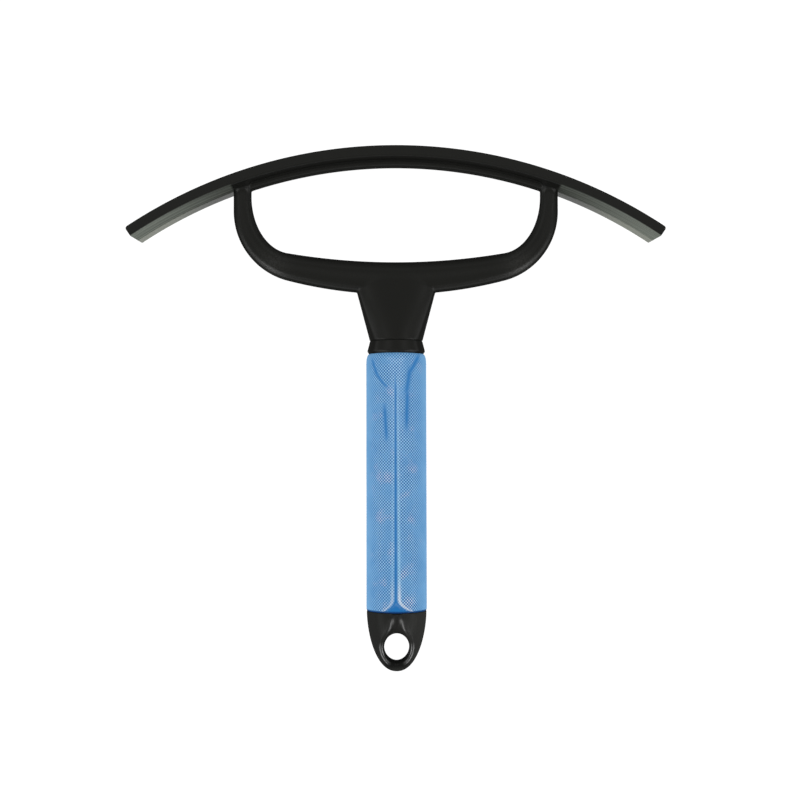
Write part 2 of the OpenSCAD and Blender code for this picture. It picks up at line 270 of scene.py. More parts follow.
def skinned(distance, axes, place):
    """Points and quads of the surface where a distance is zero, on a grid that place() sets in space.

    Each grid cell that the surface crosses holds one point, and each grid edge that it crosses holds
    one quad between the four cells round that edge.
    """
    grid = np.stack(np.meshgrid(*axes, indexing="ij"), axis=-1)
    value = distance(*np.moveaxis(place(grid), -1, 0))
    cells = tuple(n - 1 for n in value.shape)
    number = np.arange(np.prod(cells)).reshape(cells)
    total = np.zeros((*cells, 3))
    count = np.zeros(cells)
    quads = []
    for first in range(3):
        order = (first, (first + 1) % 3, (first + 2) % 3)
        level, spot, cell, sums, hits = (
            np.moveaxis(array, order, (0, 1, 2)) for array in (value, grid, number, total, count)
        )
        crossed = (level[:-1] < 0) != (level[1:] < 0)
        part = np.where(crossed, level[:-1] / np.where(crossed, level[:-1] - level[1:], 1), 0)
        point = (spot[:-1] + part[..., None] * (spot[1:] - spot[:-1])) * crossed[..., None]
        for j in (0, 1):
            for k in (0, 1):
                window = np.s_[:, j:j + cell.shape[1], k:k + cell.shape[2]]
                sums += point[window]
                hits += crossed[window]
        inner = crossed[:, 1:-1, 1:-1]
        i, j, k = np.nonzero(inner)
        around = [cell[i, j, k], cell[i, j + 1, k], cell[i, j + 1, k + 1], cell[i, j, k + 1]]
        quad = np.stack(around, axis=1)
        outward = (level[:-1, 1:-1, 1:-1] < 0)[inner]
        quads.append(np.where(outward[:, None], quad, quad[:, ::-1]))
    used = count > 0
    points = settled(place(total[used] / count[used][:, None]), distance)
    renumber = np.cumsum(used.ravel()) - 1
    return points, renumber[np.concatenate(quads)].tolist()


def softened(corners, reach, steps=4, most=0.3, hold=1.4):
    """A closed outline with each corner drawn as a short curve over at most a share of its sides.

    Beyond each end of a curve, a point at hold times its reach keeps the side straight.
    """
    corners = np.array(corners)
    outline = []
    for i, corner in enumerate(corners):
        sides = [corners[i - 1] - corner, corners[(i + 1) % len(corners)] - corner]
        start, stop = (corner + side * min(reach / np.linalg.norm(side), most) for side in sides)
        outline.append(mix(corner, start, hold))
        for t in np.linspace(0, 1, steps):
            outline.append(mix(mix(start, corner, t), mix(corner, stop, t), t))
        outline.append(mix(corner, stop, hold))
    return np.array(outline)


def turned(outline, around):
    """Points and quads of a closed outline of [radius, y] turned about the handle's axis."""
    turn = 2 * math.pi * np.arange(around) / around
    radius, y = np.array(outline).T
    x = np.outer(radius, np.sin(turn))
    z = AXIS_Z + np.outer(radius, np.cos(turn))
    points = np.stack([x, np.outer(y, np.ones(around)), z], axis=-1).reshape(-1, 3)
    ring = np.arange(len(radius))[:, None] * around
    ring_after = np.roll(ring, -1, axis=0)
    step = np.arange(around)[None, :]
    step_after = (step + 1) % around
    corners = [ring + step, ring + step_after, ring_after + step_after, ring_after + step]
    return points, np.stack(corners, axis=-1).reshape(-1, 4).tolist()


def spigot(radius, low, high, around=64):
    """Points and faces of a plain peg on the handle's axis, with a broken edge."""
    edge = radius / 12
    core = radius / 50
    outline = [[core, low], [radius - edge, low], [radius, low + edge], [radius, high], [core, high]]
    return turned(outline, around)


def combined(*shells):
    """Several shells as one list of points and one of faces."""
    points, faces, offset = [], [], 0
    for shell_points, shell_faces in shells:
        points.append(shell_points)
        faces += [[offset + corner for corner in face] for face in shell_faces]
        offset += len(shell_points)
    return np.concatenate(points), faces


def add_piece(name, shell, material):
    """A smooth mesh object at the origin, with its normals outwards."""
    points, faces = shell
    mesh = bpy.data.meshes.new(name)
    mesh.from_pydata(points.tolist(), [], faces)
    edit = bmesh.new()
    edit.from_mesh(mesh)
    bmesh.ops.recalc_face_normals(edit, faces=edit.faces)
    edit.to_mesh(mesh)
    edit.free()
    mesh.shade_smooth()
    mesh.materials.append(material)
    piece = bpy.data.objects.new(name, mesh)
    bpy.context.scene.collection.objects.link(piece)
    return piece


def smooth_normals(piece, points, distance, near=0.00001):
    """Takes the normals of the points on a distance's surface from its slope."""
    normals = np.empty(points.shape)
    piece.data.vertices.foreach_get("normal", normals.reshape(-1))
    on_surface = np.abs(distance(*points.T)) < near
    slope = slopes(points[on_surface], distance)
    normals[on_surface] = slope / np.linalg.norm(slope, axis=1)[:, None]
    piece.data.normals_split_custom_set_from_vertices(normals.tolist())


def seat(piece, node):
    """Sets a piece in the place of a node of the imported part."""
    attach(piece, "root")
    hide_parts(node)


class Wire:
    """A socket that takes Python arithmetic. Each operation on it adds one Math node."""

    def __init__(self, graph, socket):
        self.graph = graph
        self.socket = socket

    def math(self, operation, *values):
        sockets = dict(enumerate((self, *values)))
        return self.graph.add("ShaderNodeMath", {"operation": operation}, sockets)[0]

    def __add__(self, other):
        return self.math("ADD", other)

    def __sub__(self, other):
        return self.math("SUBTRACT", other)

    def __mul__(self, other):
        return self.math("MULTIPLY", other)

    def __truediv__(self, other):
        return self.math("DIVIDE", other)

    def __pow__(self, other):
        return self.math("POWER", other)

    def __neg__(self):
        return self.math("MULTIPLY", -1.0)

    def __abs__(self):
        return self.math("ABSOLUTE")

    def __rsub__(self, other):
        return (-self).math("ADD", other)

    __radd__ = __add__
    __rmul__ = __mul__


class Outputs:
    """The outputs of one node, as wires."""

    def __init__(self, graph, node):
        self.graph = graph
        self.node = node

    def __getitem__(self, key):
        return Wire(self.graph, self.node.outputs[key])


class Graph:
    """Builds the nodes of one shader or geometry tree."""

    def __init__(self, tree):
        self.tree = tree
        tree.nodes.clear()

    def add(self, kind, settings=None, sockets=None):
        """Adds a node, sets its settings and then its sockets, and returns its outputs."""
        node = self.tree.nodes.new(kind)
        for key, value in (settings or {}).items():
            setattr(node, key, value)
        for key, value in (sockets or {}).items():
            if isinstance(value, Wire):
                self.tree.links.new(value.socket, node.inputs[key])
            else:
                node.inputs[key].default_value = value
        return Outputs(self, node)

    def smooth(self, value, low, high):
        """A share that rises smoothly from 0 to 1 as a value goes from low to high."""
        settings = {"interpolation_type": "SMOOTHSTEP"}
        return self.add("ShaderNodeMapRange", settings, {0: value, 1: low, 2: high, 3: 0.0, 4: 1.0})[0]

    def bell(self, value, width):
        """A bell curve of a value, 1 at zero."""
        return (-((value * (1 / width)) ** 2.0)).math("EXPONENT")

    def blend(self, factor, a, b):
        """A colour between a and b."""
        settings = {"data_type": "RGBA"}
        return self.add("ShaderNodeMix", settings, {0: factor, 6: a, 7: b})[2]

    def noise(self, place, scale, detail=2.0, rough=0.5):
        """Noise from 0 to 1."""
        sockets = {"Vector": place, "Scale": scale, "Detail": detail, "Roughness": rough}
        return self.add("ShaderNodeTexNoise", None, sockets)[0]

    def split(self, vector):
        """The x, y and z of a vector."""
        parts = self.add("ShaderNodeSeparateXYZ", None, {0: vector})
        return parts[0], parts[1], parts[2]

    def join(self, x, y, z):
        """A vector of three values."""
        return self.add("ShaderNodeCombineXYZ", None, {0: x, 1: y, 2: z})[0]


class Finish(Graph):
    """The shader of one material, which reads the piece's own Object coordinates."""

    def __init__(self, name):
        self.material = bpy.data.materials.new(name)
        self.material.use_nodes = True
        super().__init__(self.material.node_tree)
        self.place = self.add("ShaderNodeTexCoord")["Object"]
        self.x, self.y, self.z = self.split(self.place)

    def bump(self, height, depth, strength=1.0):
        """A normal tilted by a height from 0 to 1 that is so many metres deep."""
        sockets = {"Strength": strength, "Distance": depth, "Height": height}
        return self.add("ShaderNodeBump", None, sockets)["Normal"]

    def facing(self, away, towards):
        """A share from 0 where the surface turns away from the viewer to 1 where it faces them."""
        turned_away = self.add("ShaderNodeLayerWeight", None, {"Blend": 0.5})["Facing"]
        return self.smooth(turned_away, away, towards)

    def gloss(self, weight, edge):
        """A coat weight that fades to another at the edges, so that they do not mirror the pale floor."""
        return self.facing(away=0.3, towards=0.1) * (weight - edge) + edge

    def from_bow(self, sizes):
        """Distance from the middle of the bow's circle."""
        bow_y = HEAD_HIGH.y - sizes.bow_radius
        return (self.x ** 2.0 + (self.y - bow_y) ** 2.0) ** 0.5

    def attribute(self, name):
        """A value stored on the mesh."""
        return self.add("ShaderNodeAttribute", {"attribute_name": name})["Fac"]

    def surface(self, **sockets):
        """Closes the shader with a Principled surface and returns the material."""
        named = {}
        for key, value in sockets.items():
            named[key.replace("_", " ").title().replace("Ior", "IOR")] = value
        shader = self.add("ShaderNodeBsdfPrincipled", None, named)["BSDF"]
        self.add("ShaderNodeOutputMaterial", None, {"Surface": shader})
        return self.material


BLACK = (0.0, 0.0, 0.0, 1.0)
WHITE = (1.0, 1.0, 1.0, 1.0)

# The corners of the loop with a painted sheen: their distance from the middle line, their y and their reach
SHEEN_PATCH_X = 0.062
SHEEN_PATCH_Y = 0.0705
SHEEN_PATCH_REACH = 0.0075


def scaled(colour, share):
    """A colour times a share."""
    return [share * value for value in colour[:3]] + [1.0]


def satin(f, tone, sheen_patch=0.0):
    """Closes a finish as satin moulded plastic with a fine spark grain, with a glossier coat on a sheen
    patch.
    """
    grain = f.noise(f.place, scale=2600.0, detail=3.0, rough=0.6)
    sheen = f.facing(away=0.04, towards=0.14) * f.facing(away=0.45, towards=0.3)
    return f.surface(
        base_color=tone,
        roughness=0.7,
        specular_ior_level=0.0,
        normal=f.bump(grain, depth=0.00003, strength=0.4),
        coat_weight=sheen * (sheen_patch + 0.36) + 0.03,
        coat_roughness=0.36,
    )


def edge_shaded_black(f, colours):
    """Black with painted shade: darker where the surface turns away from the viewer."""
    return f.blend((1.0 - f.facing(away=0.45, towards=0.05)) * 0.28, colours.black, BLACK)


def collar_plastic(colours):
    """Satin black plastic of the collar, with painted shade at its edges."""
    f = Finish("scraper_collar")
    return satin(f, edge_shaded_black(f, colours))


def frame_plastic(colours, sizes):
    """Satin black plastic of the head, with painted edge shade, a painted reflection of the pale floor
    inside the arms of the bow, and a painted sheen on the loop's corners, where it is also glossier.
    """
    f = Finish("scraper_frame")
    # Painted reflection of the pale floor on the inner wall of the arms, streaked, and stronger towards the
    # ends of the bow, away from the legs
    radius = f.from_bow(sizes)
    inner = sizes.bow_radius - sizes.rail_thickness
    past_leg = abs(f.x) - sizes.loop_span / 2
    on_arm = f.smooth(past_leg, -0.0005, 0.001) * (f.smooth(past_leg, 0.0, 0.05) * 0.62 + 0.4)
    inside = f.smooth(radius, inner + 0.0009, inner + 0.0002) * on_arm
    streaks = f.noise(f.join(radius * 700.0, f.x * 7.0, f.z * 700.0), scale=1.0, detail=3.0, rough=0.6)
    painted_glare = inside * (f.smooth(streaks, 0.32, 0.68) * 0.6 + 0.36)
    # Painted sheen on the lower corners of the loop: a grainy paler patch in the black, where the coat is
    # also glossier
    off_corner = ((abs(f.x) - SHEEN_PATCH_X) ** 2.0 + (f.y - SHEEN_PATCH_Y) ** 2.0) ** 0.5
    grains = f.smooth(f.noise(f.place, scale=1300.0), 0.35, 0.65)
    sheen_patch = f.bell(off_corner, SHEEN_PATCH_REACH) * (grains * 0.7 + 0.3)
    black = f.blend(sheen_patch * 0.22, edge_shaded_black(f, colours), colours.scuff_and_sheen)
    return satin(f, f.blend(painted_glare, black, colours.painted_glare), sheen_patch * 0.6)


def cap_plastic(colours):
    """Black moulded plastic with hairline scratches, polished by the cord along its lips."""
    f = Finish("scraper_cap")
    # Hairlines along the cap, and a painted sheen that lightens its right side
    cloud = f.noise(f.place, scale=90.0)
    drawn = f.join(f.x * 900.0, f.y * 60.0, f.z * 900.0)
    hair = f.smooth(f.noise(drawn, scale=1.0, detail=1.0), 0.68, 0.74)
    right_sheen = f.smooth(f.x, -0.006, 0.012) * (cloud * 0.6 + 0.7)
    tone = f.blend(hair * 0.1 + right_sheen * 0.13, colours.cap_black, colours.scuff_and_sheen)
    # Polish beside the hole and shade under it
    hole_y = HANG_HOLE["pos_m"][1]
    beside_hole = f.smooth(f.y, hole_y + 0.003, hole_y - 0.005) * f.smooth(abs(f.x), 0.003, 0.007)
    under_hole = f.smooth(f.y, hole_y - 0.0106, hole_y - 0.0085) * f.smooth(f.y, hole_y, hole_y - 0.004)
    shade = under_hole * f.smooth(abs(f.x), 0.008, 0.003)
    polished = (beside_hole * 0.3 + f.attribute("lip")) * f.facing(away=0.45, towards=0.2)
    return f.surface(
        base_color=f.blend(shade * 0.55, tone, BLACK),
        roughness=0.6,
        specular_ior_level=0.0,
        normal=f.bump(cloud, depth=0.00003, strength=0.1),
        coat_weight=f.gloss(weight=0.03, edge=0.012) * (1.0 - shade * 0.7) + polished,
        coat_roughness=0.32,
        coat_ior=2.7,
    )


def blade_rubber(colours, sizes):
    """Dark grey extruded rubber with fine lines along its length, and a painted reflection of the pale
    floor that makes it paler towards its ends.
    """
    f = Finish("scraper_rubber")
    place = f.join(f.from_bow(sizes) * 900.0, f.x * 14.0, f.z * 900.0)
    lines = f.noise(place, scale=1.0, detail=3.0, rough=0.6)
    dust = f.noise(f.place, scale=320.0, detail=3.0, rough=0.6)
    mottle = f.smooth(lines, 0.3, 0.75) * 0.7 + dust * 0.3
    # Painted reflection of the pale floor, paler away from the legs
    to_ends = f.smooth(abs(f.x), 0.088, 0.12) * (mottle * 0.3 + 0.8)
    tone = f.blend(mottle, colours.rubber, scaled(colours.rubber, 1.5))
    return f.surface(
        base_color=f.blend(to_ends, tone, colours.painted_rubber_glare),
        roughness=mottle * 0.15 + 0.42,
        specular_ior_level=0.2,
        normal=f.bump(lines * 0.7 + dust * 0.3, depth=0.00008, strength=0.5),
    )


def grip_vinyl(colours, sizes):
    """Glossy blue vinyl with pale diamonds, smooth and deeper in the folds and along the seam."""
    f = Finish("scraper_skin")
    # The diamonds follow the waves of the relief: their pale tops and dark gaps are partly the skin's own
    # pattern and partly painted highlight and shade, and fade where the skin is pressed or turns away
    around = f.x.math("ARCTAN2", f.z - AXIS_Z) * float(sizes.diamonds)
    along = (f.y - GRIP_LOW.y) * (2 * math.pi / sizes.diamond_row)
    height = around.math("COSINE") * along.math("COSINE")
    pressed = f.attribute("pressed")
    cloud = f.noise(f.place, scale=95.0, detail=4.0, rough=0.6)
    faded = f.smooth(f.noise(f.place, scale=160.0), 0.42, 0.68)
    clear = f.facing(away=0.65, towards=0.1) * (1.0 - faded * 0.5) * (1.0 - pressed)
    tone = f.blend(f.smooth(cloud, 0.35, 0.7) * 0.3, colours.skin, colours.deep_skin_and_crease_shade)
    # Painted reflection: the skin is paler where it turns away from the viewer
    tone = f.blend((1.0 - f.facing(away=0.7, towards=0.25)) * 0.16, tone, colours.pale_dots_and_sheen)
    tone = f.blend(f.smooth(height, 0.1, -0.6) * clear * 0.9, tone, colours.gap_blue_and_shade)
    # Painted glints whiten patches of the diamonds
    glint = f.smooth(f.noise(f.place, scale=120.0, detail=1.0), 0.58, 0.74)
    dots = f.smooth(height, 0.0, 0.7) * clear * 0.9
    tone = f.blend(dots, tone, f.blend(glint, colours.pale_dots_and_sheen, colours.skin_lit))
    # Painted shade: the folds, the seam, its fork and the hem are deeper blue
    tone = f.blend(pressed, tone, colours.deep_skin_and_crease_shade)
    # Painted highlights on the ridges beside the seam, whitest near the cap, and painted shade on the hem
    low = f.smooth(f.y, GRIP_LOW.y + 0.02, GRIP_LOW.y + 0.006)
    dotted = f.smooth(height, -0.6, 0.4) * (0.6 - low * 0.4) + (low * 0.4 + 0.4)
    lit = f.attribute("ridge") * dotted * f.facing(away=0.6, towards=0.1) * 0.85
    tone = f.blend(lit, tone, f.blend(low, colours.pale_dots_and_sheen, colours.skin_lit))
    hem = f.smooth(f.y, GRIP_LOW.y + 0.0013, GRIP_LOW.y + 0.0005) * 0.85
    return f.surface(
        base_color=f.blend(hem, tone, colours.hem_shade),
        roughness=0.5,
        specular_ior_level=0.0,
        normal=f.bump(f.noise(f.place, scale=900.0), depth=0.00003, strength=0.3),
        coat_weight=f.gloss(weight=0.3, edge=0.05),
        coat_roughness=0.2,
    )


def tube_plastic(colours):
    """Off-white extruded plastic, with faint lines along the tube."""
    f = Finish("scraper_tube")
    lines = f.noise(f.join(f.x * 700.0, f.y * 10.0, f.z * 700.0), scale=1.0)
    tone = f.blend(lines, scaled(colours.tube, 0.8), colours.tube)
    return f.surface(base_color=tone, roughness=lines * 0.2 + 0.4)


def gel_body(name, colours, roughness):
    """Soft blue gel or the film round it, with a slow cloudiness."""
    f = Finish(name)
    cloud = f.noise(f.place, scale=60.0, detail=3.0)
    tone = f.blend(cloud, scaled(colours.gel, 0.7), colours.gel)
    return f.surface(base_color=tone, roughness=cloud * 0.1 + roughness)


def floor_paper(colours):
    """Plain paper that glows, as on a light table."""
    f = Finish("floor_paper")
    fibre = f.noise(f.place, scale=400.0)
    return f.surface(
        base_color=f.blend(fibre, scaled(colours.floor, 0.97), colours.floor),
        roughness=0.8,
        emission_color=WHITE,
        emission_strength=1.0,
    )


class Bow:
    """The bow that the rail and the blade follow, with its two end faces."""

    def __init__(self, sizes):
        self.size = sizes
        self.y = HEAD_HIGH.y - sizes.bow_radius
        self.inner = sizes.bow_radius - sizes.rail_thickness
        self.middle = sizes.bow_radius - sizes.rail_thickness / 2
        self.front = HEAD_HIGH.z
        self.back = HEAD_HIGH.z - sizes.rail_depth
        self.half_turn = math.asin(sizes.bow_span / 2 / sizes.bow_radius)

    def radius(self, x, y):
        return np.hypot(x, y - self.y)

    def place(self, grid):
        """Points for a grid of turn, radius and z."""
        turn, radius, z = np.moveaxis(grid, -1, 0)
        return np.stack([radius * np.sin(turn), self.y + radius * np.cos(turn), z], axis=-1)

    def turns(self):
        """Grid lines along the bow."""
        margin = 4 * self.size.mesh_step / self.size.bow_radius
        reach = self.half_turn + margin
        count = int(2 * reach * self.size.bow_radius / self.size.mesh_step)
        return np.linspace(-reach, reach, count)

    def end(self, x, y, z):
        """How far a point lies beyond the leaning end faces."""
        inward = math.sin(self.half_turn) * (y - self.y) - math.cos(self.half_turn) * np.abs(x)
        lean = self.size.end_draft
        return -(inward * math.cos(lean) + (z - self.front) * math.sin(lean))

    def outside(self, x, y, z):
        """How far a point lies outside the outer face and its rounded corners at the ends."""
        face = self.radius(x, y) - self.size.bow_radius
        return bounded(self.size.end_round, face, self.end(x, y, z))

    def tongue(self, x, y, z, gap):
        """Distance to the blade's tongue and bead, grown by a gap."""
        across = self.radius(x, y) - self.middle
        size = self.size
        web = np.maximum(
            np.abs(across) - size.tongue_thickness / 2 - gap,
            np.abs(z - self.back) - size.tongue_depth,
        )
        bead = np.hypot(across, z - self.back - size.tongue_depth) - size.bead_diameter / 2 - gap
        return np.minimum(web, bead)


class HeadForm(Bow):
    """The head: its rail, rib, loop and neck, joined by fillets."""

    # Powers of the sections: 2 is an ellipse, and higher ones come nearer to a rectangle
    LOOP_POWER = 2.3
    NECK_POWER = 2.8
    RIB_POWER = 2.4
    # Places along the loop where a leg's flare has faded, and where the depth grows
    FLARE_END = 0.55
    SWELL_START = 0.8
    SWELL_END = 2.4
    # Share of the lower bar's height that the neck runs up into
    NECK_REACH = 0.75
    # Least half width of the loop, as a share of a leg's width
    LEAST_WIDTH = 0.2

    def __init__(self, sizes):
        super().__init__(sizes)
        self.neck_y = COLLAR_HIGH.y
        self.bar_y = self.neck_y + sizes.neck_length
        self.open_y = self.bar_y + sizes.bar_height

    def contour(self, x, y, half_span, corner, bar, low, stretch):
        """Distance from a line down the legs, round the corners and along the bar, and the way along it.

        The way is 0 at the rail, 1 where the corner starts, 2 where it ends and 3 on the middle line.
        The line is drawn too low by the stretch and then stretched upwards.
        """
        flat = bar * stretch
        reach, side = flat - corner, half_span - corner
        corner_rise = flat - math.sqrt(reach ** 2 - side ** 2)
        leg_rise = (self.y + math.sqrt(self.inner ** 2 - half_span ** 2) - low) / stretch
        turn = math.asin(side / reach)
        across, rise = np.abs(x) - side, (y - low) / stretch
        up = rise - corner_rise
        corner_turn = np.arctan2(across, -up)
        bar_turn = np.arctan2(np.abs(x), flat - rise)
        on_leg, on_corner = up > 0, corner_turn > turn
        slope = np.select([on_leg, on_corner], [math.pi / 2, corner_turn], bar_turn)
        distance = np.select(
            [on_leg, on_corner],
            [np.abs(x) - half_span, np.hypot(across, up) - corner],
            np.hypot(x, rise - flat) - flat,
        )
        way = np.select(
            [on_leg, on_corner],
            [1 - up / (leg_rise - corner_rise), 1 + (math.pi / 2 - corner_turn) / (math.pi / 2 - turn)],
            3 - bar_turn / turn,
        )
        return distance / np.hypot(np.sin(slope), np.cos(slope) / stretch), way

    def rail(self, x, y, z):
        inside = bounded(self.size.rail_round, self.inner - self.radius(x, y), z - self.front)
        return bounded(self.size.edge_round, self.outside(x, y, z), inside, z - self.front, self.back - z)

    def rib(self, x, y, z):
        size = self.size
        half = (size.rib_drop + OVERLAP) / 2
        across = self.radius(x, y) - (self.inner + OVERLAP - half)
        section = oval(across, z - AXIS_Z, half, size.leg_depth / 2, self.RIB_POWER)
        return np.maximum(section, np.abs(x) - (size.loop_span - size.leg_width) / 2)

    def loop(self, x, y, z):
        size = self.size
        outer, outer_way = self.contour(
            x, y, size.loop_span / 2, size.corner_outer, size.bar_outer, self.bar_y, 1.0
        )
        leg_inside = size.loop_span / 2 - size.leg_width
        inner, inner_way = self.contour(
            x, y, leg_inside, size.corner_inner, size.bar_inner, self.open_y, size.corner_stretch
        )
        half_width = np.maximum((inner - outer) / 2, self.LEAST_WIDTH * size.leg_width)
        way = np.clip((outer_way + inner_way) / 2, 0, 3)
        swell = ease((way - self.SWELL_START) / (self.SWELL_END - self.SWELL_START))
        back = mix(size.leg_depth, size.bar_depth, swell) / 2
        front = back + size.leg_flare * (1 - np.minimum(way / self.FLARE_END, 1)) ** 2
        height = z - AXIS_Z - (front - back) / 2
        section = oval((inner + outer) / 2, height, half_width, (front + back) / 2, self.LOOP_POWER)
        return np.maximum(section, self.radius(x, y) - self.inner - OVERLAP)

    def neck(self, x, y, z):
        size = self.size
        full = size.neck_length + size.bar_height * self.NECK_REACH
        rise = np.clip(y - self.neck_y, 0, full)
        half_width = mix(size.neck_diameter, size.neck_width, rise / size.neck_length) / 2
        bar_middle = size.neck_length + size.bar_height / 2
        half_depth = mix(size.neck_diameter, size.bar_depth, rise / bar_middle) / 2
        power = mix(2, self.NECK_POWER, ease(rise / size.neck_length))
        side = oval(x, z - AXIS_Z, half_width, half_depth, power)
        return bounded(size.neck_edge, side, self.neck_y - y, y - self.neck_y - full)

    def distance(self, x, y, z):
        """Distance to the whole head, with the slot for the blade cut into its rail."""
        size = self.size
        body = joined(self.rib(x, y, z), self.loop(x, y, z), size.root_fillet)
        front = ease((z - AXIS_Z) / (size.leg_depth / 2 + size.leg_flare)) ** 2
        on_leg = ease((size.loop_span / 2 - np.abs(x)) / size.rail_fillet + 0.5)
        body = joined(body, self.rail(x, y, z), mix(size.root_fillet, size.rail_fillet, front * on_leg))
        body = joined(body, self.neck(x, y, z), size.root_fillet)
        return np.maximum(body, -self.tongue(x, y, z, size.slide_gap))

    def axes(self):
        """Grid lines that are fine along the rail's edges and its slot, and that miss its flat faces."""
        step, fine = self.size.mesh_step, self.size.fine_step
        radii = graded(
            self.size.bow_radius + step,
            (self.neck_y - self.y - 2.3 * step, step),
            (self.inner - 2.3 * step, fine),
        )
        depths = graded(
            self.front + step,
            (AXIS_Z - self.size.neck_diameter / 2 - 2 * step, step),
            (self.back - 1.3 * step, fine),
            (self.back + self.size.tongue_depth + self.size.bead_diameter, step),
            (self.front - 2.3 * step, fine),
        )
        return self.turns(), radii, depths

    def shell(self):
        peg = spigot(self.size.spigot_radius, HEAD_LOW.y, self.neck_y + OVERLAP)
        return combined(skinned(self.distance, self.axes(), self.place), peg)


class BladeForm(Bow):
    """The rubber blade: a tapered lip behind the rail, with its tongue."""

    def distance(self, x, y, z):
        size = self.size
        run, drop = size.rail_thickness - size.blade_tip, self.back - BLADE_LOW.z
        radius = self.radius(x, y)
        taper = ((radius - size.bow_radius) * drop + (self.back - z) * run) / math.hypot(run, drop)
        plan = bounded(size.end_round, taper, self.end(x, y, z))
        lip = bounded(size.edge_round / 2, plan, self.inner - radius, z - self.back, BLADE_LOW.z - z)
        tongue = np.maximum(self.tongue(x, y, z, 0), self.end(x, y, z))
        return np.minimum(lip, tongue)

    def axes(self):
        fine = self.size.fine_step
        top = self.back + self.size.tongue_depth + self.size.bead_diameter / 2
        radii = graded(self.size.bow_radius + 2 * fine, (self.inner - 2.5 * fine, fine))
        depths = graded(top + 2 * fine, (BLADE_LOW.z - 2.5 * fine, fine))
        return self.turns(), radii, depths

    def shell(self):
        return skinned(self.distance, self.axes(), self.place)


class CapForm:
    """The end cap, with its hanging hole, cord grooves and spigot."""

    # Shares of polish at the top and at the foot of the cord groove, and along the hole's lip
    TOP_POLISH = 0.3
    FOOT_POLISH = 0.85
    HOLE_POLISH = 0.75
    # Least share that a ramp leaves of the polish's width
    LEAST_RAMP = 0.1

    def __init__(self, sizes):
        self.size = sizes
        self.top = GRIP_LOW.y
        self.tip = GRIP_LOW.y - sizes.cap_length
        self.radius = CAP_HIGH.x
        self.hole_radius = HANG_HOLE["dims"]["r_mm"] / 1000
        self.hole_y = HANG_HOLE["pos_m"][1]
        self.hole_face = self.face(self.hole_y)
        self.groove_top = [self.top - sizes.groove_stop, self.radius + OVERLAP]

    def face(self, y):
        """Radius of the cap at a place along the handle."""
        down = (self.top - y) / self.size.cap_length
        return self.radius * (1 - down ** self.size.cap_late) ** (1 / self.size.cap_blunt)

    def body(self, x, y, z):
        size = self.size
        out = np.hypot(x, z - AXIS_Z) / self.radius
        down = np.maximum((self.top - y) / size.cap_length, 0)
        level = out ** size.cap_blunt + down ** size.cap_late - 1
        out_slope = size.cap_blunt * out ** (size.cap_blunt - 1) / self.radius
        down_slope = size.cap_late * down ** (size.cap_late - 1) / size.cap_length
        side = level / np.maximum(np.hypot(out_slope, down_slope), 1.0)
        return bounded(size.rim_round, side, y - self.top)

    def hole(self, x, y, z):
        wall = self.size.hole_wall / 2
        rise = np.maximum(np.abs(z - AXIS_Z) - wall, 0) / (self.hole_face - wall)
        tall = (y - self.hole_y) / self.size.hole_stretch
        return np.hypot(x, tall) - self.hole_radius - self.size.hole_flare * rise ** 2

    def groove(self, x, y, z, stop, width, width_end):
        """Distance to a tapered groove from the hole to a place [y, z over the axis], on both faces."""
        start = np.array([self.hole_y, self.hole_face - self.size.groove_sink])
        way = np.array(stop) - start
        off = np.stack([y - start[0], np.abs(z - AXIS_Z) - start[1]])
        t = np.clip(np.tensordot(way, off, axes=(0, 0)) / (way @ way), 0, 1)
        gap = np.sqrt(x ** 2 + (off[0] - way[0] * t) ** 2 + (off[1] - way[1] * t) ** 2)
        return gap - mix(width, width_end, t) / 2

    def upper(self, x, y, z):
        return self.groove(x, y, z, self.groove_top, self.size.groove_width, self.size.groove_end)

    def grooved(self, x, y, z):
        """Distance to the cap with its grooves and without its hole."""
        size = self.size
        tip_y = self.tip + size.saddle_stop
        tip = [tip_y, self.face(tip_y) + size.groove_end / 2]
        saddle = self.groove(x, y, z, tip, size.saddle_width, size.groove_end)
        cut = bounded(size.groove_round, self.body(x, y, z), -self.upper(x, y, z))
        return bounded(size.saddle_round, cut, -saddle)

    def distance(self, x, y, z):
        return bounded(self.size.hole_round, self.grooved(x, y, z), -self.hole(x, y, z))

    def lip(self, x, y, z):
        """The share of polish along the lips of the upper grooves and of the hole."""
        size = self.size
        # Ramps narrow the polish on the middle line and over the hole, and end it at the rim
        beside = ease((np.abs(x) - size.groove_end / 4) / (size.groove_end / 3))
        groove = (np.abs(self.upper(x, y, z)) + np.abs(self.body(x, y, z))) / beside.clip(self.LEAST_RAMP)
        below = ease((self.hole_y - y) / self.hole_radius + 1)
        aside = ease(1.6 * np.abs(x) / self.hole_radius - 0.3)
        ramp = (below * aside).clip(self.LEAST_RAMP)
        hole = (np.abs(self.hole(x, y, z)) + np.abs(self.grooved(x, y, z))) / ramp
        below_rim = ease((self.top - y) / size.lip_width - 1)
        down = ease((self.top - y) / (self.top - self.hole_y - self.hole_radius))
        polish = below_rim * mix(self.TOP_POLISH, self.FOOT_POLISH, down)
        along_groove = polish * np.exp(-((groove / size.lip_width) ** 2))
        along_hole = self.HOLE_POLISH * np.exp(-((hole / size.lip_width) ** 2))
        return np.maximum(along_groove, along_hole)

    def shell(self, spigot_radius):
        step = self.size.mesh_step
        reach = self.radius + 3 * step
        wide = np.arange(-reach, reach + step, step)
        tall = np.arange(self.tip - 3 * step, self.top + 3 * step, step)
        skin = skinned(self.distance, (wide, tall, AXIS_Z + wide), lambda grid: grid)
        return combined(skin, spigot(spigot_radius, self.top - OVERLAP, CAP_HIGH.y))


# Points across one diamond of the grip, and round each of its two bends
POINTS_PER_DIAMOND = 4
BEND_STEPS = 9

# The seam's fork: power of its spread, and how much further its right branch goes
FORK_POWER = 2.3
FORK_RIGHT = 0.25
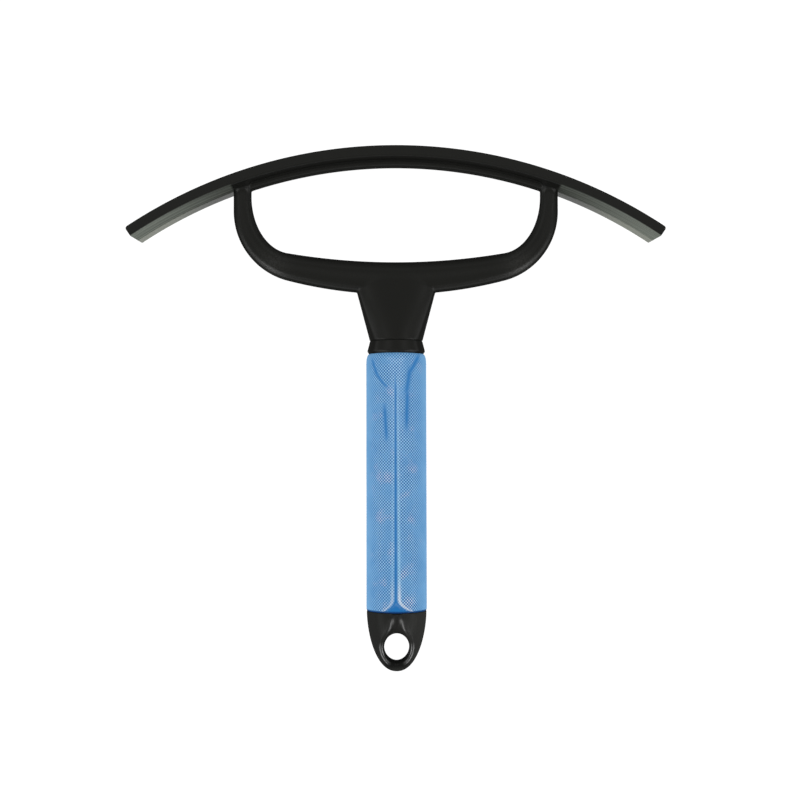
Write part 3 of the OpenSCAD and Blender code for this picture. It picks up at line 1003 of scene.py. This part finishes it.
# The places along the handle between which the seam comes in
SEAM_FROM = 0.02
SEAM_TO = 0.008
# The ridges beside the seam: their distance in half widths of its groove, and their share of its depth
RIDGE_OFFSET = 2.4
RIDGE_SHARE = 0.35
# Share of the diamonds that a fold smooths away
FOLD_PRESS = 0.8
# Swells of the gel in a metre
SWELL_SCALE = 42.0

# Slack folds of the skin, each as (distance from the middle line, y, lean, half length, half width)
FOLDS = (
    (-0.0122, 0.02, -0.46, 0.006, 0.0009),
    (-0.0086, 0.0144, -0.9, 0.0055, 0.0009),
    (-0.0057, -0.007, -0.06, 0.0115, 0.0010),
    (0.0093, 0.0212, 0.69, 0.0075, 0.0013),
    (0.0061, 0.0135, 0.17, 0.009, 0.0013),
    (0.0054, 0.0, 0.03, 0.0135, 0.0011),
)


def grip_blank(sizes):
    """The padded grip before its relief: a closed tube, drawn in at the collar and at the cap."""
    radius = GRIP_HIGH.x - sizes.skin_ease
    tuck, shoulder = [], []
    for turn in np.linspace(0, math.pi / 2, BEND_STEPS):
        across, along = 1 - math.cos(turn), 1 - math.sin(turn)
        tuck.append([radius - sizes.tuck_in * along, GRIP_LOW.y + sizes.tuck_length * across])
        shoulder.append([radius - sizes.shoulder_in * across, GRIP_HIGH.y - sizes.shoulder_length * along])
    row = sizes.diamond_row / POINTS_PER_DIAMOND
    first = math.ceil(sizes.tuck_length / row) + 1
    last = int((GRIP_HIGH.y - GRIP_LOW.y - sizes.shoulder_length) / row) - 1
    wall = [[radius, GRIP_LOW.y + i * row] for i in range(first, last)]
    lips = [[sizes.grip_bore, GRIP_HIGH.y], [sizes.grip_bore, GRIP_LOW.y]]
    return turned(tuck + wall + shoulder + lips, POINTS_PER_DIAMOND * sizes.diamonds)


def relief_tree(sizes):
    """Geometry nodes that press the diamonds, the seam and the folds into the grip's skin."""
    tree = bpy.data.node_groups.new("grip_relief", "GeometryNodeTree")
    g = Graph(tree)
    inputs = [("Geometry", "Geometry"), ("Material", "Material")]
    inputs += [(name, "Float") for name in ("Relief", "Seam depth", "Fold depth", "Swell")]
    for name, kind in inputs:
        tree.interface.new_socket(name, in_out="INPUT", socket_type="NodeSocket" + kind)
    tree.interface.new_socket("Geometry", in_out="OUTPUT", socket_type="NodeSocketGeometry")
    given = g.add("NodeGroupInput")

    place = g.add("GeometryNodeInputPosition")[0]
    x, y, z = g.split(place)
    up = z - AXIS_Z
    out = (x ** 2.0 + up ** 2.0) ** 0.5
    turn = x.math("ARCTAN2", up)
    side = turn * GRIP_HIGH.x

    around = (turn * float(sizes.diamonds)).math("COSINE")
    along = ((y - GRIP_LOW.y) * (2 * math.pi / sizes.diamond_row)).math("COSINE")

    below_fork = (GRIP_LOW.y + sizes.fork_height - y).math("MAXIMUM", 0.0)
    right = g.smooth(side - sizes.seam_side, -0.0005, 0.0005)
    spread = (below_fork * (1 / sizes.fork_height)) ** FORK_POWER * sizes.fork_reach
    spread = spread * (right * FORK_RIGHT + 1.0)
    seam_run = g.smooth(y, SEAM_FROM, SEAM_TO)
    grip_share = (GRIP_HIGH.y - y) * (1 / (GRIP_HIGH.y - GRIP_LOW.y))
    seam_half = grip_share * (sizes.seam_foot - sizes.seam_top) + sizes.seam_top
    off_line = abs(abs(side - sizes.seam_side) - spread) / seam_half
    groove = g.bell(off_line, 1.0) * seam_run
    ridge = g.bell(off_line - RIDGE_OFFSET, 1.0) * seam_run * (right * 0.5 + 0.5) * (grip_share * 0.7 + 0.3)
    fork = g.smooth(spread - abs(side - sizes.seam_side), 0.0, 0.001)
    hem = g.smooth(y, GRIP_LOW.y + sizes.tuck_length, GRIP_LOW.y + 0.4 * sizes.tuck_length)

    folds = None
    for fold_side, fold_y, lean, half, width in FOLDS:
        run = g.smooth(abs(y - fold_y), half, 0.4 * half)
        fold = g.bell(side - fold_side - (y - fold_y) * lean, width) * run
        folds = fold if folds is None else folds.math("MAXIMUM", fold)

    pressed = groove.math("MAXIMUM", folds * FOLD_PRESS).math("MAXIMUM", fork).math("MAXIMUM", hem)
    full = GRIP_HIGH.x - sizes.skin_ease
    outer = g.smooth(out, full - 0.6 * sizes.shoulder_in, full - 0.0001)
    swell = g.noise(place, scale=SWELL_SCALE) - 0.5
    depth = around * along * (1.0 - pressed) * given["Relief"]
    depth = depth - groove * given["Seam depth"] + ridge * given["Seam depth"] * RIDGE_SHARE
    depth = depth - folds * given["Fold depth"] + swell * given["Swell"]
    depth = depth * outer / out
    offset = g.join(x * depth, 0.0, up * depth)

    per_point = {"data_type": "FLOAT", "domain": "POINT"}
    kept = given["Geometry"]
    for name, value in (("pressed", pressed), ("ridge", ridge * (1.0 - pressed))):
        sockets = {"Geometry": kept, "Name": name, "Value": value}
        kept = g.add("GeometryNodeStoreNamedAttribute", per_point, sockets)[0]
    moved = g.add("GeometryNodeSetPosition", None, {"Geometry": kept, "Offset": offset})[0]
    real = g.add("GeometryNodeRealizeInstances", None, {"Geometry": moved})[0]
    dressed = g.add("GeometryNodeSetMaterial", None, {"Geometry": real, "Material": given["Material"]})[0]
    g.add("NodeGroupOutput", None, {"Geometry": dressed})
    return tree


def pressed_mesh(piece, tree, values):
    """Runs a geometry tree on a piece once and keeps the result as its plain mesh."""
    modifier = piece.modifiers.new("relief", "NODES")
    modifier.node_group = tree
    for item in tree.interface.items_tree:
        if item.in_out == "INPUT" and item.name in values:
            modifier[item.identifier] = values[item.name]
    shown = piece.evaluated_get(bpy.context.evaluated_depsgraph_get())
    mesh = bpy.data.meshes.new_from_object(shown)
    mesh.name = piece.name
    piece.modifiers.clear()
    piece.data = mesh


class SCRAPER_OT_head(bpy.types.Operator):
    """Make the black moulded head"""

    bl_idname = "scraper.head"
    bl_label = "Head"

    def execute(self, context):
        scene = context.scene
        shell = HeadForm(scene.scraper_head).shell()
        piece = add_piece("head", shell, frame_plastic(scene.scraper_finishes, scene.scraper_head))
        seat(piece, "head_frame")
        return {"FINISHED"}


class SCRAPER_OT_blade(bpy.types.Operator):
    """Make the rubber blade in the rail"""

    bl_idname = "scraper.blade"
    bl_label = "Blade"

    def execute(self, context):
        scene = context.scene
        shell = BladeForm(scene.scraper_head).shell()
        piece = add_piece("blade", shell, blade_rubber(scene.scraper_finishes, scene.scraper_head))
        seat(piece, "rubber_blade")
        return {"FINISHED"}


class SCRAPER_OT_collar(bpy.types.Operator):
    """Make the flared collar over the grip"""

    bl_idname = "scraper.collar"
    bl_label = "Collar"

    def execute(self, context):
        scene = context.scene
        sizes = scene.scraper_handle
        flare, top = COLLAR_HIGH.x, sizes.collar_top / 2
        low, high = COLLAR_LOW.y, COLLAR_HIGH.y
        corners = [
            [sizes.collar_bore, low],
            [flare - sizes.collar_inset, low],
            [flare, low + sizes.collar_chamfer],
            [top, high],
            [sizes.collar_bore, high],
        ]
        shell = turned(softened(corners, reach=0.0004), around=160)
        piece = add_piece("neck_collar", shell, collar_plastic(scene.scraper_finishes))
        seat(piece, "collar")
        return {"FINISHED"}


class SCRAPER_OT_grip(bpy.types.Operator):
    """Make the padded grip with its embossed skin"""

    bl_idname = "scraper.grip"
    bl_label = "Grip"

    def execute(self, context):
        scene = context.scene
        sizes = scene.scraper_handle
        skin = grip_vinyl(scene.scraper_finishes, sizes)
        piece = add_piece("grip", grip_blank(sizes), skin)
        values = {
            "Relief": sizes.relief,
            "Seam depth": sizes.seam_depth,
            "Fold depth": sizes.fold_depth,
            "Swell": sizes.swell,
            "Material": skin,
        }
        pressed_mesh(piece, relief_tree(sizes), values)
        seat(piece, "grip_skin")
        return {"FINISHED"}


class SCRAPER_OT_cap(bpy.types.Operator):
    """Make the glossy end cap with its hanging hole"""

    bl_idname = "scraper.cap"
    bl_label = "Cap"

    def execute(self, context):
        scene = context.scene
        form = CapForm(scene.scraper_cap)
        points, faces = form.shell(scene.scraper_head.spigot_radius)
        piece = add_piece("cap", (points, faces), cap_plastic(scene.scraper_finishes))
        lip = piece.data.attributes.new("lip", "FLOAT", "POINT")
        lip.data.foreach_set("value", form.lip(*points.T).astype(np.float32))
        smooth_normals(piece, points, form.distance)
        seat(piece, "end_cap")
        return {"FINISHED"}


class SCRAPER_OT_core(bpy.types.Operator):
    """Give the pieces inside the grip their finishes"""

    bl_idname = "scraper.core"
    bl_label = "Core"

    def execute(self, context):
        colours = context.scene.scraper_finishes
        finishes = {
            "core_tube": tube_plastic(colours),
            "grip_liner": gel_body("scraper_liner", colours, roughness=0.2),
            "gel_fill": gel_body("scraper_gel", colours, roughness=0.3),
        }
        for node, finish in finishes.items():
            mesh = frame["nodes"][node].data
            mesh.materials.clear()
            mesh.materials.append(finish)
        return {"FINISHED"}


# The camera: its place in metres, its tilts in degrees, and its focal length and sensor in millimetres
CAMERA_PLACE = (-0.006, -0.0209, 0.7364)
CAMERA_TILT = (2.023, -0.624, -0.084)
CAMERA_LENS = 64.93
SENSOR = 36.0
SKY_STRENGTH = 0.12

# Soft boxes, each as (name, place, size, watts), all aimed at the middle of the object
SOFT_BOXES = (
    ("left_box", (-0.35, 0.28, 1.1), (0.4, 0.7), 4.5),
    ("right_box", (0.35, 0.28, 1.1), (0.4, 0.7), 4.35),
    ("left_strip_box", (-1.0, -0.68, 0.45), (1.2, 0.5), 5.2),
    ("right_strip_box", (1.0, -0.68, 0.45), (1.2, 0.5), 5.2),
)


class SCRAPER_OT_stage(bpy.types.Operator):
    """Make the floor, the soft light and the camera"""

    bl_idname = "scraper.stage"
    bl_label = "Stage"

    def execute(self, context):
        scene = context.scene
        self.add_floor(scene)
        for box in SOFT_BOXES:
            self.add_soft_box(scene, *box)
        self.add_camera(scene)
        self.add_sky(scene)
        scene.view_settings.view_transform = "Standard"
        return {"FINISHED"}

    def add_floor(self, scene):
        half = 3.0
        corners = [(-half, -half, 0), (half, -half, 0), (half, half, 0), (-half, half, 0)]
        mesh = bpy.data.meshes.new("floor")
        mesh.from_pydata(corners, [], [(0, 1, 2, 3)])
        mesh.materials.append(floor_paper(scene.scraper_finishes))
        floor = bpy.data.objects.new("floor", mesh)
        scene.collection.objects.link(floor)

    def add_soft_box(self, scene, name, place, size, watts):
        light = bpy.data.lights.new(name, "AREA")
        light.shape = "RECTANGLE"
        light.size, light.size_y = size
        light.energy = watts
        box = bpy.data.objects.new(name, light)
        box.location = place
        box.rotation_euler = (-box.location).to_track_quat("-Z", "Y").to_euler()
        scene.collection.objects.link(box)

    def add_camera(self, scene):
        lens = bpy.data.cameras.new("camera")
        lens.sensor_width = SENSOR
        lens.lens = CAMERA_LENS
        lens.clip_start = 0.01
        camera = bpy.data.objects.new("camera", lens)
        camera.location = CAMERA_PLACE
        camera.rotation_mode = "ZYX"
        camera.rotation_euler = [math.radians(tilt) for tilt in CAMERA_TILT]
        scene.collection.objects.link(camera)
        scene.camera = camera

    def add_sky(self, scene):
        scene.world = bpy.data.worlds.new("studio")
        scene.world.use_nodes = True
        g = Graph(scene.world.node_tree)
        sky = g.add("ShaderNodeBackground", None, {"Color": WHITE, "Strength": SKY_STRENGTH})[0]
        g.add("ShaderNodeOutputWorld", None, {"Surface": sky})


class SCRAPER_PT_panel(bpy.types.Panel):
    """Lists the pieces and their sizes in the sidebar"""

    bl_idname = "SCRAPER_PT_panel"
    bl_label = "Sweat scraper"
    bl_space_type = "VIEW_3D"
    bl_region_type = "UI"
    bl_category = "Scraper"

    def draw(self, context):
        for operator in OPERATORS:
            self.layout.operator(operator.bl_idname)
        for holder in GROUPS:
            sizes = getattr(context.scene, holder)
            for name in sizes.bl_rna.properties.keys():
                if name not in ("rna_type", "name"):
                    self.layout.prop(sizes, name)


GROUPS = {
    "scraper_head": HeadSizes,
    "scraper_handle": HandleSizes,
    "scraper_cap": CapSizes,
    "scraper_finishes": Finishes,
}
OPERATORS = (
    SCRAPER_OT_stage,
    SCRAPER_OT_head,
    SCRAPER_OT_blade,
    SCRAPER_OT_collar,
    SCRAPER_OT_grip,
    SCRAPER_OT_cap,
    SCRAPER_OT_core,
)


def register():
    for cls in (*GROUPS.values(), *OPERATORS, SCRAPER_PT_panel):
        bpy.utils.register_class(cls)
    for name, group in GROUPS.items():
        setattr(bpy.types.Scene, name, PointerProperty(type=group))


def unregister():
    for name in GROUPS:
        delattr(bpy.types.Scene, name)
    for cls in (SCRAPER_PT_panel, *reversed(OPERATORS), *GROUPS.values()):
        bpy.utils.unregister_class(cls)


def main():
    register()
    bpy.ops.scraper.stage()
    bpy.ops.scraper.head()
    bpy.ops.scraper.blade()
    bpy.ops.scraper.collar()
    bpy.ops.scraper.grip()
    bpy.ops.scraper.cap()
    bpy.ops.scraper.core()


if __name__ == "__main__":
    main()
